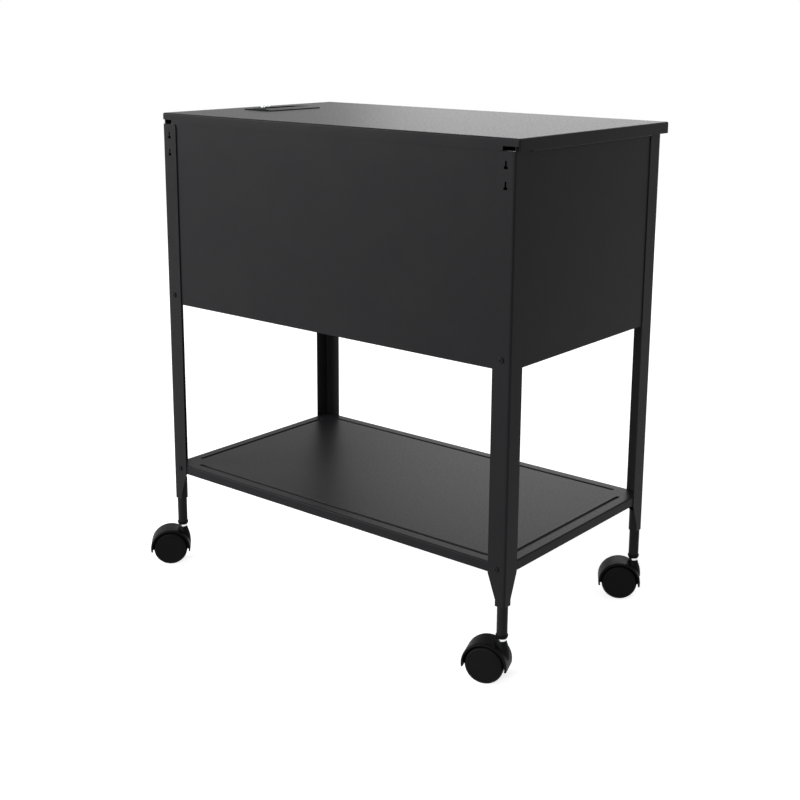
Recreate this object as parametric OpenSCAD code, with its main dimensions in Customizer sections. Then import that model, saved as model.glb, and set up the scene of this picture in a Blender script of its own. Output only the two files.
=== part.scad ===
// Mobile file cabinet: a steel tub for hanging folders under a lifting lid,
// a lower shelf, four angle legs and four twin-wheel casters.
// Origin on the floor, midway between the four caster swivel axes.
// +X runs to the hinged end of the lid, -Y is the front, +Z is up.

/* [Legs] */
// Length over the outer faces of the legs
frame_l = 604; // [560:2:640]
// Depth over the outer faces of the legs
frame_w = 342; // [342:2:370]
// Length of a leg from the mouth of its socket tube to its top
leg_len = 598.6; // [580:0.2:640]
// Width of each of a leg's two flanges
leg_flange = 26; // [24:0.5:30]
// Steel thickness of the legs
leg_t = 1.2; // [1:0.1:1.6]
// Outer diameter of the socket tube at the foot of a leg
tube_d = 14; // [13.6:0.1:15]
// Wall of the socket tube
tube_wall = 1.2; // [0.8:0.1:1.3]
// Length of the round tube that shows under the taper
tube_h = 38; // [32:1:46]
// Height of the taper between the flanges and the tube
taper_h = 41; // [34:1:42]
// Length of the sleeve that the leg's sheet forms round the tube
sleeve_h = 31; // [26:1:33]
// Thickness of that sleeve
sleeve_wall = 1.5; // [1.2:0.1:1.8]

/* [Tub] */
// Distance from the top of a leg down to the bottom of the tub
tub_drop = 259.6; // [230:0.2:280]
// Steel thickness of the tub's panels
panel_t = 1; // [0.8:0.1:1.2]
// Set-back of the long panels behind the leg flanges
set_back = 0.6; // [0.6:0.1:2]
// How far a long panel runs on behind a leg's flange before it steps out to it
joggle_in = 5; // [4:0.5:6]
// Height of the upper hook slots below the top of a leg
slot_drop = 15.6; // [14:0.2:20]
// Distance between the two hook slots of a leg
slot_pitch = 24; // [20:1:30]
// Width of the panels' inward flanges
panel_flange = 11; // [10:0.5:12]
// Height of the hem along the top of a long panel
hem_h = 9; // [6:0.5:10]
// Gap between the top of the tub and the lid
lid_gap = 2.5; // [2:0.1:3]

/* [Hanging rails] */
// Distance from a long panel's inner face to the folders' side of its rail
rail_inset = 11.7; // [10:0.1:13]
// Steel thickness of a rail
rail_t = 1.5; // [1.2:0.1:1.8]
// Height of a rail
rail_h = 12; // [9:0.5:14]
// Wall of the brackets round the rails' ends
bracket_wall = 2.5; // [2:0.1:3]
// Distance from the top of the tub down to the rail's top edge
rail_drop = 12; // [10:0.5:20]

/* [Lid] */
// How far the lid reaches past the legs at its hinged end
lid_over = 6; // [5.6:0.1:8]
// How far the lid reaches past the legs at its free end
lid_free_over = 0.5; // [0.4:0.1:6]
// How far the lid reaches past the rear legs
lid_back = 10; // [6:0.5:14]
// Height of the lid's skirt
lid_skirt = 15; // [14:0.1:15]
// Steel thickness of the lid
lid_t = 1.2; // [1:0.1:1.4]
// Distance from the top of a leg up to the top of the lid
lid_rise = 15.4; // [15.3:0.1:16]
// Length of the relief over each front leg, from the leg's outer face
notch_l = 18; // [14:0.5:24]
// Height left of the skirt over each front leg
notch_top = 9.5; // [8:0.5:11]
// Length of the relief at the front of the free end's skirt
end_relief = 8; // [6:0.5:12]

/* [Hinge] */
// Length of the hinge
hinge_l = 280; // [240:10:284]
// Number of knuckles
knuckles = 14; // [8:2:20]
// Gap between the barrel and the sheets on its two sides
knuckle_gap = 0.6; // [0.5:0.05:0.8]
// Diameter of the hinge pin
pin_d = 2.4; // [2:0.1:2.8]
// Thickness of a hinge leaf
leaf_t = 1; // [0.8:0.1:1.1]
// Height of the hinge axis over the lower edge of the lid's skirt
hinge_rise = 0.5; // [0.2:0.1:0.8]

/* [Lid pull] */
// Width of the pull along the lid
pull_w = 57; // [54:1:60]
// Length of the pull across the lid
pull_l = 106; // [90:1:110]
// Distance from the lid's free end to the pull
pull_inset = 37.5; // [37.5:0.5:45]
// Depth of the finger cup under the lid
cup_depth = 14; // [12:1:18]
// Height of the pull's grip over the lid
grip_rise = 3.2; // [2.8:0.1:4]
// Width of the grip, from its outer edge to the finger opening
grip_w = 15; // [12:0.5:20]
// Wall of the plastic pull
pull_wall = 1.8; // [1.5:0.1:2]

/* [Lock] */
// Diameter of the lock's bright collar
collar_d = 14; // [13:0.5:15]
// Height of the collar over the lid
collar_h = 3.1; // [2.5:0.1:4]
// Distance from the lid's free end to the lock's axis
lock_inset = 29; // [26:0.5:29]
// Diameter of the lock's barrel
barrel_d = 11; // [10:0.1:11.5]
// Diameter of the turning plug
plug_d = 8; // [7:0.1:8.4]
// Reach of the cam from the lock's axis
cam_l = 22; // [20:0.5:24]
// Distance from the top of the tub down to the strike
strike_drop = 14; // [12:0.5:16]

/* [Shelf] */
// Height of the shelf's top over the floor
shelf_z = 157; // [156:1:200]
// Height of the shelf's skirt
shelf_skirt = 13; // [11:1:13]
// Steel thickness of the shelf
shelf_t = 1.2; // [1:0.1:1.4]
// Width of a pressed groove
groove_w = 6; // [5:0.5:8]
// Depth of a pressed groove
groove_h = 2; // [1:0.1:3]
// Distance from the shelf's edge to the middle of a groove
groove_inset = 17; // [14:1:22]
// Distance from a corner of the shelf to the end of a groove
groove_stop = 36; // [30:1:50]

/* [Casters] */
// Diameter of a wheel
wheel_d = 50; // [48:0.5:50]
// Width of one wheel
wheel_w = 10.5; // [9:0.5:12]
// Distance from the swivel axis to the axle
trail = 19; // [18.5:0.5:20]
// Height of the leg's tube over the floor
foot_z = 64; // [64:0.5:70]
// Gap between a wheel and the hood over it
hood_gap = 2; // [1.5:0.1:2.4]
// Thickness of the hood's fender
hood_t = 2.6; // [2:0.1:3]
// Thickness of the hood's middle web
web_t = 11; // [11:0.5:13]
// How far the fender reaches below the axle
hood_reach = 5; // [4:0.5:7]
// Diameter of the hood's boss at its top
boss_d = 13; // [12:0.5:14]
// Diameter of the hood's shoulder under the boss
shoulder_d = 22; // [18:0.5:24]
// Diameter of the stem
stem_d = 8; // [7:0.1:8.4]
// Height of the bright neck between the socket and the hood
neck_h = 3.5; // [2:0.5:6]
// Diameter of the bright neck
neck_d = 12; // [10:0.5:12.5]
// Diameter of the axle
axle_d = 6; // [5:0.1:7]
// Direction that the front left caster trails in
trail_front_left = 226; // [0:1:360]
// Direction that the front right caster trails in
trail_front_right = 201; // [0:1:360]
// Direction that the rear right caster trails in
trail_rear_right = 212; // [0:1:360]
// Direction that the rear left caster trails in
trail_rear_left = 218; // [0:1:360]

/* [Fasteners] */
// Diameter of a screw
screw_d = 4; // [3.5:0.1:4.5]
// Diameter of a screw's head
head_d = 7.4; // [7:0.1:8.4]
// Height of a screw's head
head_h = 2; // [1.6:0.1:2.4]
// Width of a nut across its flats
nut_af = 7; // [6.8:0.1:8]
// Height of a nut
nut_h = 3; // [2.4:0.1:3.4]

/* [Clearances] */
// Radial running clearance of pins, plugs and axles
running = 0.05; // [0.02:0.01:0.1]
// Radial clearance of a screw in its hole
screw_play = 0.2; // [0.1:0.05:0.3]
// Gap on each side of a rail in its brackets
rail_play = 0.1; // [0.05:0.05:0.2]
// Gap between bodies that pass each other
side_gap = 0.4; // [0.3:0.05:0.6]

/* [Hidden] */

// colours, as seen
steel_black = [0.17, 0.17, 0.17];
plastic_black = [0.1, 0.1, 0.1];
zinc = [0.75, 0.76, 0.78];
rubber_black = [0.07, 0.07, 0.07];
galvanised = [0.6, 0.62, 0.64];

$fn = 48;
cut = 1; // how far a cut runs past a face

// frame
half_l = frame_l / 2;
half_w = frame_w / 2;
leg_top = foot_z + leg_len;
tube_top = foot_z + tube_h;
taper_top = tube_top + taper_h;
sleeve_plain = 8; // height of the sleeve's lower end, under the taper
axis_x = half_l - tube_d / 2; // the swivel axes are inside the leg's corner
axis_y = half_w - tube_d / 2;
leg_in_x = half_l - leg_t; // inner faces of the legs
leg_in_y = half_w - leg_t;

// tub
tub_bottom = leg_top - tub_drop;
lid_top = leg_top + lid_rise;
lid_under = lid_top - lid_t;
tub_top = lid_under - lid_gap;
field_y = leg_in_y - set_back; // outer face of the long panels' field
field_half = half_l - leg_flange + joggle_in; // half length of that field
end_half = leg_in_y - panel_t; // half depth of an end panel
end_in_x = leg_in_x - panel_t; // inner face of an end panel

// rails
rail_back = field_y - panel_t; // inner face of the long panels
rail_y = rail_back - rail_inset; // inner face of a rail
rail_top = tub_top - rail_drop;
rail_low = rail_top - rail_h;
rail_end_gap = 0.3;
bracket_l = 8; // how far a bracket reaches along its rail

// lid
lid_hinged = half_l + lid_over; // the lid's two ends
lid_free = -half_l - lid_free_over;
lid_front = -half_w; // the front skirt is flush with the legs
lid_rear = half_w + lid_back;
lid_mid_y = (lid_front + lid_rear) / 2;
skirt_bottom = lid_top - lid_skirt;
corner_slit = 0.6; // open seam between two skirts
bumper_d = 8;
bumper_y = 110;
bumper_play = 0.2; // left between a bumper and the lid

// hinge: the barrel lies between the end panel and the lid's skirt
hinge_x = (leg_in_x + lid_hinged - lid_t) / 2;
hinge_z = skirt_bottom + hinge_rise;
knuckle_d = lid_hinged - lid_t - leg_in_x - 2 * knuckle_gap;
knuckle_pitch = hinge_l / knuckles;
leaf_low = hinge_z + knuckle_d / 2 + side_gap;
body_leaf_top = tub_top - side_gap;
lid_leaf_top = lid_under - side_gap;

// pull
pull_x = lid_free + pull_inset + pull_w / 2; // middle of the pull
pull_r = 4; // corner radius of the pull's rim
rim_h = 1.4; // height of the rim over the lid
cup_w = pull_w - 8;
cup_l = pull_l - 10;
grip_in = pull_w / 2 - grip_w; // the grip's inner edge, from the pull's middle
grip_edge = 1.3; // height of the grip's outer edge
cup_play = 0.5; // gap between the cup and the lid's cut-out

// lock
lock_x = lid_free + lock_inset;
strike_z = tub_top - strike_drop; // top of the strike's ledge
strike_h = 11; // height of its plate over the ledge
strike_t = 1.5;
strike_w = 30;
strike_reach = 15;
cam_t = 1.6;
cam_w = 12;
cam_gap = 0.8; // between the strike and the locked cam
cam_top = strike_z - strike_t - cam_gap;
barrel_low = cam_top + side_gap;
lock_nut_d = 16;
lock_nut_h = 4;
plug_tail_d = 5;
key_l = 5;
key_w = 1;
key_h = 6;

// shelf
shelf_half_l = leg_in_x;
shelf_half_w = leg_in_y;
shelf_bottom = shelf_z - shelf_skirt;

// screws
screw_x = half_l - leg_flange / 2;
tub_screw_rise = 13; // of the tub's screws over its bottom
tub_screw_z = tub_bottom + tub_screw_rise;
shelf_screw_z = shelf_bottom + shelf_skirt / 2;
slot_zs = [leg_top - slot_drop, leg_top - slot_drop - slot_pitch]; // heights of the hook slots in the legs
slot_w = 2.4; // narrow upper part of a hook slot
slot_h = 9.5;
slot_foot_w = 5.5; // wide lower part of a hook slot
slot_foot_h = 3.2;

// casters
wheel_r = wheel_d / 2;
axle_z = wheel_r;
hood_in_r = wheel_r + hood_gap;
hood_r = hood_in_r + hood_t;
wheel_in = web_t / 2 + side_gap; // inner face of a wheel, from the middle
wheel_out = wheel_in + wheel_w;
hood_half_w = wheel_out + 0.5;
hood_low = axle_z - hood_reach; // lower ends of the fender
socket_d = tube_d - 2 * tube_wall;
socket_h = 38;
socket_lip_h = 4.5;
socket_lip_d = tube_d + 1.8;
stem_len_in = 34; // length of stem inside the leg
boss_top = foot_z - socket_lip_h - neck_h;
boss_low = axle_z + axle_d / 2 + 4;
stem_low = boss_low + 3; // lower end of the stem in its blind bore
axle_half = wheel_in + wheel_w - 4;
shoulder_low = boss_low;
tread_round = 4.5; // edge radius of a wheel

// A box given by its two corners
module block(low, high) translate(low) cube(high - low);

// A plate with rounded upright corners, its middle at the origin
module rounded_plate(l, w, h, r) {
    translate([-l / 2 + r, -w / 2, 0]) cube([l - 2 * r, w, h]);
    translate([-l / 2, -w / 2 + r, 0]) cube([l, w - 2 * r, h]);
    for (x = [-1, 1], y = [-1, 1])
        translate([x * (l / 2 - r), y * (w / 2 - r), 0]) cylinder(h = h, r = r);
}

// A slot along X with round ends, its middle at the origin
module long_slot(l, w, h) {
    translate([-(l - w) / 2, -w / 2, 0]) cube([l - w, w, h]);
    for (x = [-1, 1]) translate([x * (l - w) / 2, 0, 0]) cylinder(h = h, d = w);
}

// Puts its child at a quarter of the frame: side is 1 for +X, front is -1 for -Y
module quarter(side, front) mirror([side > 0 ? 0 : 1, 0, 0]) mirror([0, front < 0 ? 0 : 1, 0]) children();

// Hook slots through a front or rear flange, drawn for the front right leg
module hook_slots(grow = 0)
    for (z = slot_zs)
        translate([screw_x, -half_w - cut, z]) {
            translate([-slot_w / 2 - grow, 0, -slot_h / 2 - grow])
                cube([slot_w + 2 * grow, 2 * cut + leg_t + panel_t, slot_h + 2 * grow]);
            translate([-slot_foot_w / 2 - grow, 0, -slot_h / 2 - grow])
                cube([slot_foot_w + 2 * grow, 2 * cut + leg_t + panel_t, slot_foot_h + 2 * grow]);
        }

// A hole along Y through a front flange and what lies behind it
module flange_hole(z)
    translate([screw_x, -half_w - cut, z]) rotate([-90, 0, 0])
        cylinder(h = leg_t + panel_t + shelf_t + 2 * cut, r = screw_d / 2 + screw_play);

// Sleeve round the socket tube, flat where it meets the leg's two outer faces
module sleeve() difference() {
    translate([axis_x, -axis_y, tube_top]) cylinder(h = sleeve_h, d = tube_d + 2 * sleeve_wall);
    block([half_l, -half_w - tube_d, tube_top - cut], [half_l + tube_d, -half_w + 2 * tube_d, tube_top + sleeve_h + cut]);
    block([half_l - 2 * tube_d, -half_w - tube_d, tube_top - cut], [half_l + tube_d, -half_w, tube_top + sleeve_h + cut]);
}

// One leg, drawn at the front right: an angle with a taper and a socket tube
module leg() color(steel_black) difference() {
    union() {
        block([half_l - leg_flange, -half_w, taper_top], [half_l, -half_w + leg_t, leg_top]);
        block([half_l - leg_t, -half_w, taper_top], [half_l, -half_w + leg_flange, leg_top]);
        translate([0, -half_w + leg_t, 0]) rotate([90, 0, 0]) linear_extrude(leg_t)
            polygon([[half_l, tube_top], [half_l, taper_top], [half_l - leg_flange, taper_top],
                [half_l - tube_d, tube_top + sleeve_plain], [half_l - tube_d, tube_top]]);
        translate([half_l - leg_t, 0, 0]) rotate([90, 0, 90]) linear_extrude(leg_t)
            polygon([[-half_w, tube_top], [-half_w, taper_top], [-half_w + leg_flange, taper_top],
                [-half_w + tube_d, tube_top + sleeve_plain], [-half_w + tube_d, tube_top]]);
        translate([axis_x, -axis_y, foot_z]) cylinder(h = tube_h + sleeve_h, d = tube_d);
        sleeve();
    }
    translate([axis_x, -axis_y, foot_z - cut]) cylinder(h = tube_h + sleeve_h + 2 * cut, d = socket_d);
    hook_slots();
    flange_hole(tub_screw_z);
    flange_hole(shelf_screw_z);
}

// One long panel, drawn at the front: a set-back field with a tab behind each leg
module long_panel() color(steel_black) difference() {
    union() {
        block([-field_half, -field_y, tub_bottom], [field_half, -field_y + panel_t, tub_top]);
        for (s = [-1, 1]) mirror([s > 0 ? 0 : 1, 0, 0]) {
            block([field_half - panel_t, -leg_in_y, tub_bottom], [field_half, -field_y + panel_t, leg_top]);
            block([field_half - panel_t, -leg_in_y, tub_bottom], [leg_in_x, -leg_in_y + panel_t, leg_top]);
        }
        block([-field_half, -field_y, tub_bottom], [field_half, -field_y + panel_flange, tub_bottom + panel_t]);
        block([-field_half, -field_y, tub_top - hem_h], [field_half, -field_y + 2 * panel_t, tub_top]);
    }
    for (s = [-1, 1]) mirror([s > 0 ? 0 : 1, 0, 0]) {
        hook_slots(0.3);
        flange_hole(tub_screw_z);
    }
}

// One end panel, drawn at the right: flat, with a top and a bottom flange
module end_panel() color(steel_black) {
    flange_half = rail_back - panel_flange - side_gap;
    block([end_in_x, -end_half, tub_bottom], [leg_in_x, end_half, leg_top]);
    block([end_in_x, -rail_back, leg_top - cut], [leg_in_x, rail_back, tub_top]);
    block([leg_in_x - panel_flange, -flange_half, tub_bottom], [leg_in_x, flange_half, tub_bottom + panel_t]);
    block([leg_in_x - panel_flange, -flange_half, tub_top - panel_t], [leg_in_x, flange_half, tub_top]);
}

// Flat floor that lies on the panels' bottom flanges, wider behind the legs
module tub_floor() color(steel_black) {
    block([-end_in_x, -rail_back, tub_bottom + panel_t], [end_in_x, rail_back, tub_bottom + 2 * panel_t]);
    for (s = [-1, 1]) mirror([s > 0 ? 0 : 1, 0, 0])
        block([field_half, -end_half, tub_bottom + panel_t], [end_in_x, end_half, tub_bottom + 2 * panel_t]);
}

// Lower shelf: a pan with a turned-down skirt and four pressed grooves
module shelf() color(steel_black) difference() {
    union() {
        difference() {
            block([-shelf_half_l, -shelf_half_w, shelf_bottom], [shelf_half_l, shelf_half_w, shelf_z]);
            block([-shelf_half_l + shelf_t, -shelf_half_w + shelf_t, shelf_bottom - cut],
                [shelf_half_l - shelf_t, shelf_half_w - shelf_t, shelf_z - shelf_t]);
        }
        grooves(groove_w + 2 * shelf_t, shelf_t, shelf_z - groove_h - shelf_t, groove_h + shelf_t / 2);
    }
    grooves(groove_w, 0, shelf_z - groove_h, groove_h + cut);
    for (s = [-1, 1], f = [-1, 1]) quarter(s, f) flange_hole(shelf_screw_z);
}

// The four grooves' outline: w wide, grown at each end by more, from z up by h
module grooves(w, more, z, h) {
    for (s = [-1, 1]) {
        translate([0, s * (shelf_half_w - groove_inset), z])
            long_slot(2 * (shelf_half_l - groove_stop + more), w, h);
        translate([s * (shelf_half_l - groove_inset), 0, z]) rotate([0, 0, 90])
            long_slot(2 * (shelf_half_w - groove_stop + more), w, h);
    }
}

// Folder rail, drawn at the front: a flat bar on edge, from end panel to end panel
module folder_rail() color(galvanised)
    block([rail_end_gap - end_in_x, -rail_y - rail_t, rail_low], [end_in_x - rail_end_gap, -rail_y, rail_top]);

// Brackets on the end panels, each with a slot that the end of a rail stands in
module rail_brackets() color(galvanised) for (s = [-1, 1], f = [-1, 1]) quarter(s, f) difference() {
    block([end_in_x - bracket_l, -rail_y - rail_t - bracket_wall, rail_low - bracket_wall],
        [end_in_x, -rail_y + bracket_wall, rail_top]);
    block([end_in_x - bracket_l - cut, -rail_y - rail_t - rail_play, rail_low], [end_in_x + cut, -rail_y + rail_play, rail_top + cut]);
}

// Strike: an angle on the left end panel, with a ledge that the locked cam turns under
module lock_strike() color(galvanised) {
    block([-end_in_x, lid_mid_y - strike_w / 2, strike_z - strike_t],
        [-end_in_x + strike_t, lid_mid_y + strike_w / 2, strike_z + strike_h]);
    block([-end_in_x, lid_mid_y - strike_w / 2, strike_z - strike_t],
        [-end_in_x + strike_reach, lid_mid_y + strike_w / 2, strike_z]);
}

// Rubber bumpers on the top flanges of the end panels
module lid_bumpers() color(rubber_black)
    for (x = [-1, 1], y = [-1, 1])
        translate([x * (leg_in_x - panel_flange / 2), y * bumper_y, tub_top])
            cylinder(h = lid_gap - bumper_play, d = bumper_d);

// Cross-head screws along Y, drawn for the front right leg
module screw(z) translate([screw_x, -half_w, z]) rotate([90, 0, 0]) difference() {
    union() {
        cylinder(h = head_h * 0.45, d = head_d);
        translate([0, 0, head_h * 0.45]) cylinder(h = head_h * 0.55, d1 = head_d, d2 = head_d * 0.6);
        translate([0, 0, -leg_t - panel_t - nut_h - 1]) cylinder(h = leg_t + panel_t + nut_h + 1, d = screw_d);
    }
    for (a = [0, 90]) rotate([0, 0, a])
        translate([-head_d * 0.27, -0.45, head_h * 0.4]) cube([head_d * 0.54, 0.9, head_h]);
}

module nut(z, grip) translate([screw_x, -half_w + leg_t + grip, z]) rotate([-90, 0, 0]) difference() {
    cylinder(h = nut_h, d = nut_af / cos(30), $fn = 6);
    translate([0, 0, -cut]) cylinder(h = nut_h + 2 * cut, d = screw_d);
}

module tub_screws() color(steel_black) for (s = [-1, 1], f = [-1, 1]) quarter(s, f) screw(tub_screw_z);
module tub_nuts() color(zinc) for (s = [-1, 1], f = [-1, 1]) quarter(s, f) nut(tub_screw_z, panel_t);
module shelf_screws() color(steel_black) for (s = [-1, 1], f = [-1, 1]) quarter(s, f) screw(shelf_screw_z);
module shelf_nuts() color(zinc) for (s = [-1, 1], f = [-1, 1]) quarter(s, f) nut(shelf_screw_z, shelf_t);

// Plastic sockets pressed into the legs' tubes, each with a lip under the tube
module caster_sockets() color(plastic_black)
    for (s = [-1, 1], f = [-1, 1]) quarter(s, f) translate([axis_x, -axis_y, 0])
        difference() {
            union() {
                translate([0, 0, foot_z]) cylinder(h = socket_h, d = socket_d);
                translate([0, 0, foot_z - socket_lip_h / 2])
                    cylinder(h = socket_lip_h / 2, d = socket_lip_d);
                translate([0, 0, foot_z - socket_lip_h])
                    cylinder(h = socket_lip_h / 2, d1 = socket_lip_d - 2, d2 = socket_lip_d);
            }
            translate([0, 0, foot_z - socket_lip_h - cut])
                cylinder(h = stem_len_in + socket_lip_h + cut, d = stem_d);
        }

// Knuckles of one leaf: every second one, from first
module knuckle_row(first) for (i = [first : 2 : knuckles - 1])
    translate([hinge_x, -hinge_l / 2 + i * knuckle_pitch + side_gap / 2, hinge_z]) rotate([-90, 0, 0])
        cylinder(h = knuckle_pitch - side_gap, d = knuckle_d);

module pin_bore(play) translate([hinge_x, -hinge_l / 2 - cut, hinge_z]) rotate([-90, 0, 0])
    cylinder(h = hinge_l + 2 * cut, r = pin_d / 2 + play);

// Neck between a leaf at x and its knuckles
module necks(first, x) for (i = [first : 2 : knuckles - 1])
    block([x, -hinge_l / 2 + i * knuckle_pitch + side_gap / 2, hinge_z],
        [x + leaf_t, -hinge_l / 2 + (i + 1) * knuckle_pitch - side_gap / 2, leaf_low + leaf_t]);

module body_hinge_leaf() color(steel_black) difference() {
    union() {
        block([leg_in_x, -hinge_l / 2, leaf_low], [leg_in_x + leaf_t, hinge_l / 2, body_leaf_top]);
        necks(0, leg_in_x);
        knuckle_row(0);
    }
    pin_bore(0);
}

module lid_hinge_leaf() color(steel_black) {
    x = lid_hinged - lid_t - leaf_t;
    difference() {
        union() {
            block([x, -hinge_l / 2, leaf_low], [x + leaf_t, hinge_l / 2, lid_leaf_top]);
            necks(1, x);
            knuckle_row(1);
        }
        pin_bore(running);
    }
}

module hinge_pin() color(zinc) translate([hinge_x, -hinge_l / 2, hinge_z]) rotate([-90, 0, 0])
    cylinder(h = hinge_l, d = pin_d);

// Lid: a shallow pan, open below, with reliefs over the front legs
module lid_shell() color(steel_black) difference() {
    block([lid_free, lid_front, skirt_bottom], [lid_hinged, lid_rear, lid_top]);
    block([lid_free + lid_t, lid_front + lid_t, skirt_bottom - cut], [lid_hinged - lid_t, lid_rear - lid_t, lid_under]);
    skirt_cuts(lid_hinged);
    mirror([1, 0, 0]) skirt_cuts(-lid_free);
    block([lid_free - cut, lid_front - cut, skirt_bottom - cut], [lid_free + lid_t + cut, lid_front + end_relief, lid_top - notch_top]);
    translate([pull_x, lid_mid_y, lid_under - cut])
        rounded_plate(cup_w + 2 * cup_play, cup_l + 2 * cup_play, lid_t + 2 * cut, pull_r);
    translate([lock_x, lid_mid_y, lid_under - cut]) cylinder(h = lid_t + 2 * cut, r = barrel_d / 2 + screw_play);
}

// Cuts in the skirts at the lid's right end, which is at x: the relief and the two open seams
module skirt_cuts(x) {
    block([half_l - notch_l, lid_front - cut, skirt_bottom - cut], [x - lid_t, lid_front + lid_t + cut, lid_top - notch_top]);
    for (y = [lid_front - cut, lid_rear - lid_t])
        block([x - lid_t - corner_slit, y, skirt_bottom - cut], [x - lid_t, y + lid_t + cut, lid_under - lid_t]);
}

// Pull: a plate that rises from a low rim to a grip, with a finger cup under both
module lid_pull() color(plastic_black) translate([pull_x, lid_mid_y, lid_top]) difference() {
    union() {
        rounded_plate(pull_w, pull_l, grip_rise, pull_r);
        translate([0, 0, -cup_depth]) rounded_plate(cup_w, cup_l, cup_depth + rim_h / 2, pull_r);
    }
    // the plate's top falls from the grip's ridge to the rim and to the grip's outer edge
    translate([0, pull_l / 2 + cut, 0]) rotate([90, 0, 0]) linear_extrude(pull_l + 2 * cut) {
        polygon([[-pull_w / 2 - cut, rim_h], [-pull_w / 2, rim_h], [grip_in, grip_rise],
            [grip_in, grip_rise + cut], [-pull_w / 2 - cut, grip_rise + cut]]);
        polygon([[pull_w / 2 + cut, grip_edge], [pull_w / 2, grip_edge], [grip_in, grip_rise],
            [grip_in, grip_rise + cut], [pull_w / 2 + cut, grip_rise + cut]]);
    }
    translate([0, 0, pull_wall - cup_depth])
        rounded_plate(cup_w - 2 * pull_wall, cup_l - 2 * pull_wall, cup_depth - pull_wall, pull_r - pull_wall);
    block([-cup_w / 2 + pull_wall, -cup_l / 2 + pull_wall, -cut], [grip_in, cup_l / 2 - pull_wall, grip_rise + cut]);
}

// Lock: a fixed collar and barrel, its nut, the turning plug and the cam
module lock_housing() color(zinc) translate([lock_x, lid_mid_y, 0]) difference() {
    union() {
        translate([0, 0, lid_top]) cylinder(h = collar_h - 1, d = collar_d);
        translate([0, 0, lid_top + collar_h - 1]) cylinder(h = 1, d1 = collar_d, d2 = collar_d - 2);
        translate([0, 0, barrel_low]) cylinder(h = lid_top - barrel_low, d = barrel_d);
    }
    translate([0, 0, barrel_low - cut]) cylinder(h = lid_top - barrel_low + collar_h + 2 * cut, r = plug_d / 2 + running);
}

module lock_nut() color(zinc) translate([lock_x, lid_mid_y, lid_under - lock_nut_h]) difference() {
    cylinder(h = lock_nut_h, d = lock_nut_d, $fn = 6);
    translate([0, 0, -cut]) cylinder(h = lock_nut_h + 2 * cut, d = barrel_d);
}

module lock_plug() color(zinc) translate([lock_x, lid_mid_y, 0]) difference() {
    union() {
        translate([0, 0, barrel_low]) cylinder(h = lid_top + collar_h - barrel_low - 0.3, d = plug_d);
        translate([0, 0, cam_top - cam_t - 2]) cylinder(h = barrel_low - cam_top + cam_t + 2 + cut, d = plug_tail_d);
    }
    translate([-key_w / 2, -key_h / 2, lid_top + collar_h - key_l]) cube([key_w, key_h, key_l + cut]);
}

// The cam points along +Y when unlocked and turns to -X to lock
module lock_cam() color(zinc) translate([lock_x, lid_mid_y, cam_top - cam_t]) difference() {
    union() {
        cylinder(h = cam_t, d = cam_w);
        translate([-cam_w / 2, 0, 0]) cube([cam_w, cam_l - cam_w / 2, cam_t]);
        translate([0, cam_l - cam_w / 2, 0]) cylinder(h = cam_t, d = cam_w);
    }
    translate([0, 0, -cut]) cylinder(h = cam_t + 2 * cut, d = plug_tail_d);
}

// Places a caster at a corner: side 1 is right, front -1 is front, turned to trail at angle
module caster_at(side, front, angle) translate([side * axis_x, front * axis_y, 0]) rotate([0, 0, angle]) children();

// Bright stem: a plain pin in the socket, a neck and a pin in the hood
module stem() color(zinc) {
    translate([0, 0, stem_low]) cylinder(h = foot_z + stem_len_in - stem_low - 1, d = stem_d);
    translate([0, 0, boss_top + side_gap]) cylinder(h = neck_h - side_gap, d = neck_d);
}

// Revolved section of the fender, about the axle
module fender() translate([trail, 0, axle_z]) rotate([90, 0, 0]) rotate_extrude()
    polygon([[hood_in_r, -hood_half_w], [hood_r - 0.9, -hood_half_w], [hood_r - 0.2, -hood_half_w + 1],
        [hood_r, -hood_half_w + 4], [hood_r, hood_half_w - 4], [hood_r - 0.2, hood_half_w - 1],
        [hood_r - 0.9, hood_half_w], [hood_in_r, hood_half_w]]);

// Hood: a fender over both wheels, a middle web, and a shoulder that rises to the boss round the stem
module hood() color(plastic_black) difference() {
    union() {
        difference() {
            union() {
                fender();
                translate([trail, web_t / 2, axle_z]) rotate([90, 0, 0]) cylinder(h = web_t, r = hood_in_r + 0.5);
            }
            block([trail - hood_r - cut, -hood_half_w - cut, axle_z - hood_r - cut],
                [trail + hood_r + cut, hood_half_w + cut, hood_low]);
        }
        rotate_extrude() polygon([[0, shoulder_low], [shoulder_d / 2, shoulder_low], [shoulder_d * 0.48, (2 * shoulder_low + boss_top) / 3],
            [(shoulder_d * 0.9 + boss_d) / 4, (shoulder_low + 2 * boss_top) / 3], [boss_d / 2, boss_top], [0, boss_top]]);
    }
    // the wheels' space, so that the boss stays between them
    for (s = [-1, 1]) translate([trail, s > 0 ? wheel_in - side_gap : -hood_half_w, axle_z])
        rotate([-90, 0, 0]) cylinder(h = hood_half_w - web_t / 2, r = hood_in_r);
    translate([0, 0, stem_low - 0.5]) cylinder(h = boss_top - stem_low + cut, r = stem_d / 2 + running);
    translate([trail, hood_half_w, axle_z]) rotate([90, 0, 0]) cylinder(h = 2 * hood_half_w, d = axle_d);
}

// Axle: pressed in the web, the wheels turn on its ends
module axle() color(zinc) translate([trail, axle_half, axle_z]) rotate([90, 0, 0])
    cylinder(h = 2 * axle_half, d = axle_d);

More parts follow.
